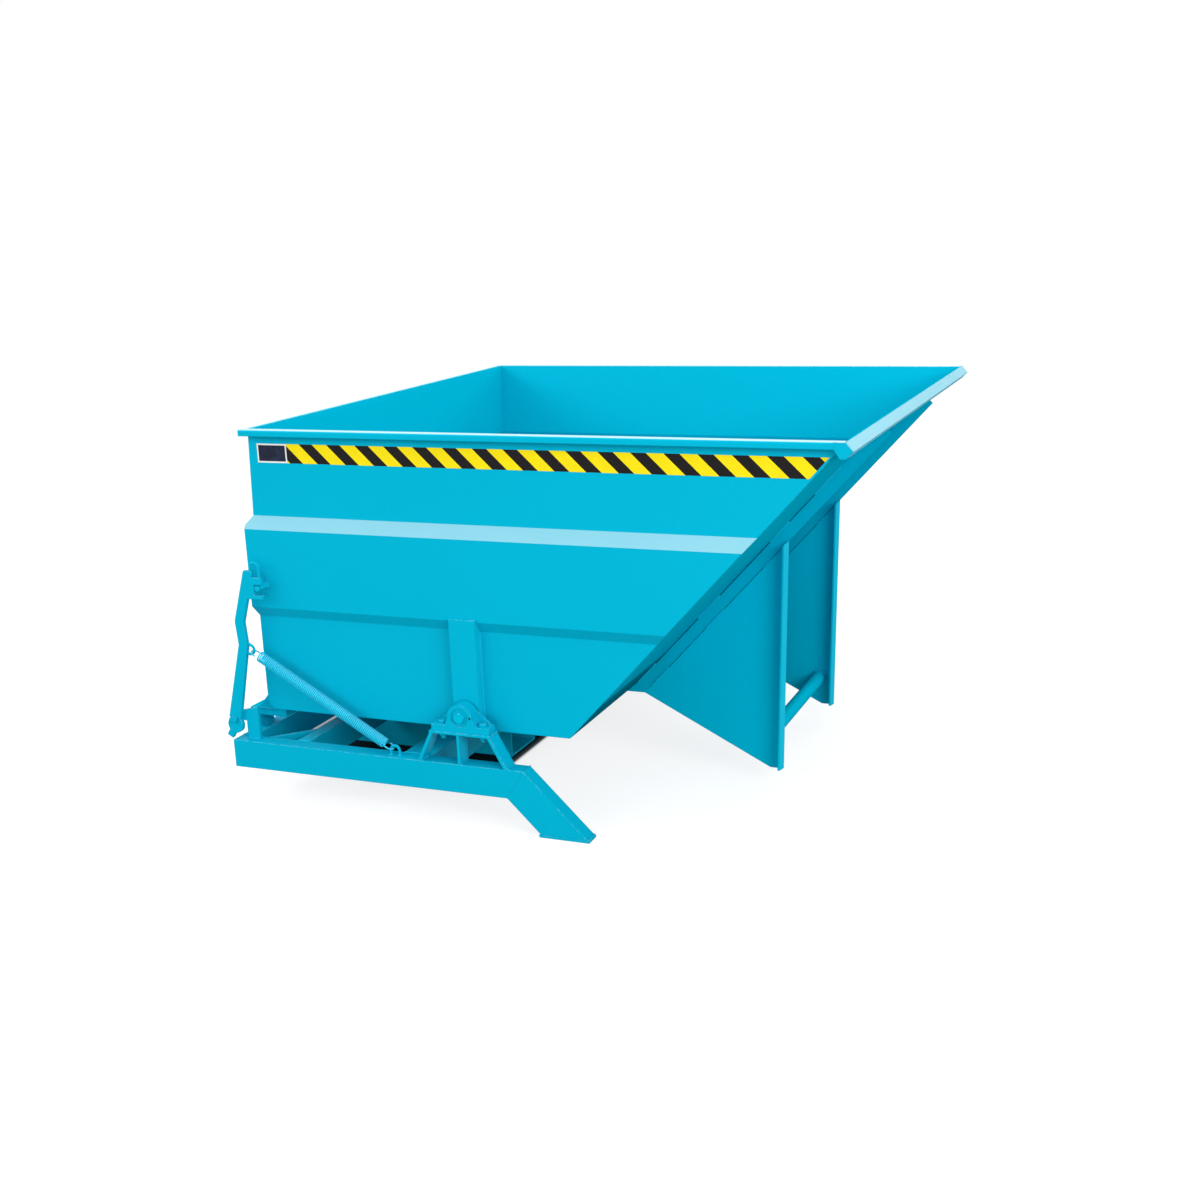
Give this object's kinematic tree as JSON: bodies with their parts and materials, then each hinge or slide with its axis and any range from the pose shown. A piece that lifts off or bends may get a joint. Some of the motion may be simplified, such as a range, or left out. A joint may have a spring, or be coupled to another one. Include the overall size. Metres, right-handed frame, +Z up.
{
  "type": "tipping hopper",
  "caption": "Painted sheet-steel tipping hopper with a sloping discharge chute, pivoted on a base frame with fork pockets and a spring-loaded latch lever.",
  "frame": {"origin": "on the floor under the middle of the overall box", "axes": "+X to the chute's lip, +Z up, the latch lever on the -Y side"},
  "size_m": [1.8934, 1.828, 1.113],
  "materials": {
    "paint": "satin cyan-blue coating",
    "tape": "yellow film with slanted black stripes",
    "label": "bare dark plate"
  },
  "bodies": {
    "base": {"side_beam_near": "paint", "side_beam_far": "paint", "beam_end_caps": "paint", "front_leg_near": "paint", "front_leg_far": "paint", "foot_plate_near": "paint", "foot_plate_far": "paint", "rear_cross_beam": "paint", "middle_cross_beam": "paint", "front_cross_beam": "paint", "fork_pocket_near": "paint", "fork_pocket_far": "paint", "diagonal_brace_near": "paint", "diagonal_brace_far": "paint", "pedestal_near": "paint", "pedestal_far": "paint", "bearing_housing_near": "paint", "bearing_housing_far": "paint", "bearing_insert_near": "paint", "bearing_insert_far": "paint", "housing_bolts": "paint", "housing_nuts": "paint", "rest_post_near": "paint", "rest_post_far": "paint", "lever_ear": "paint", "lever_bolt": "paint", "lever_nut": "paint", "spring_anchor": "paint", "latch_spring": "paint"},
    "tub": {"side_panel_near": "paint", "side_panel_far": "paint", "rear_wall": "paint", "floor_plate": "paint", "chute_plate": "paint", "front_lip": "paint", "lip_caps": "paint", "side_rim_near": "paint", "side_rim_far": "paint", "rear_rim": "paint", "chute_rib_near": "paint", "chute_rib_far": "paint", "support_plate_near": "paint", "support_plate_far": "paint", "cross_tube": "paint", "pivot_rib_near": "paint", "pivot_rib_far": "paint", "stub_shaft_near": "paint", "stub_shaft_far": "paint", "rest_lugs": "paint", "catch_pin": "paint", "hazard_tape_near": "tape", "hazard_tape_far": "tape", "label_plate": "label"},
    "lever": {"latch_lever": "paint", "spring_eye": "paint", "rope_eye": "paint"}
  },
  "joints": [
    {"name": "tub_tip", "type": "hinge", "parent": "base", "child": "tub", "pos_m": [-0.1513, 0, 0.326], "axis": [0, 1, 0], "range_deg": [0, 90]},
    {"name": "lever_swing", "type": "hinge", "parent": "base", "child": "lever", "pos_m": [-0.9143, -0.8923, 0.251], "axis": [0, -1, 0], "range_deg": [-0.2, 9], "stiffness_Nm_per_rad": 60, "springref_deg": -6.88, "deforming": ["latch_spring"]}
  ]
}
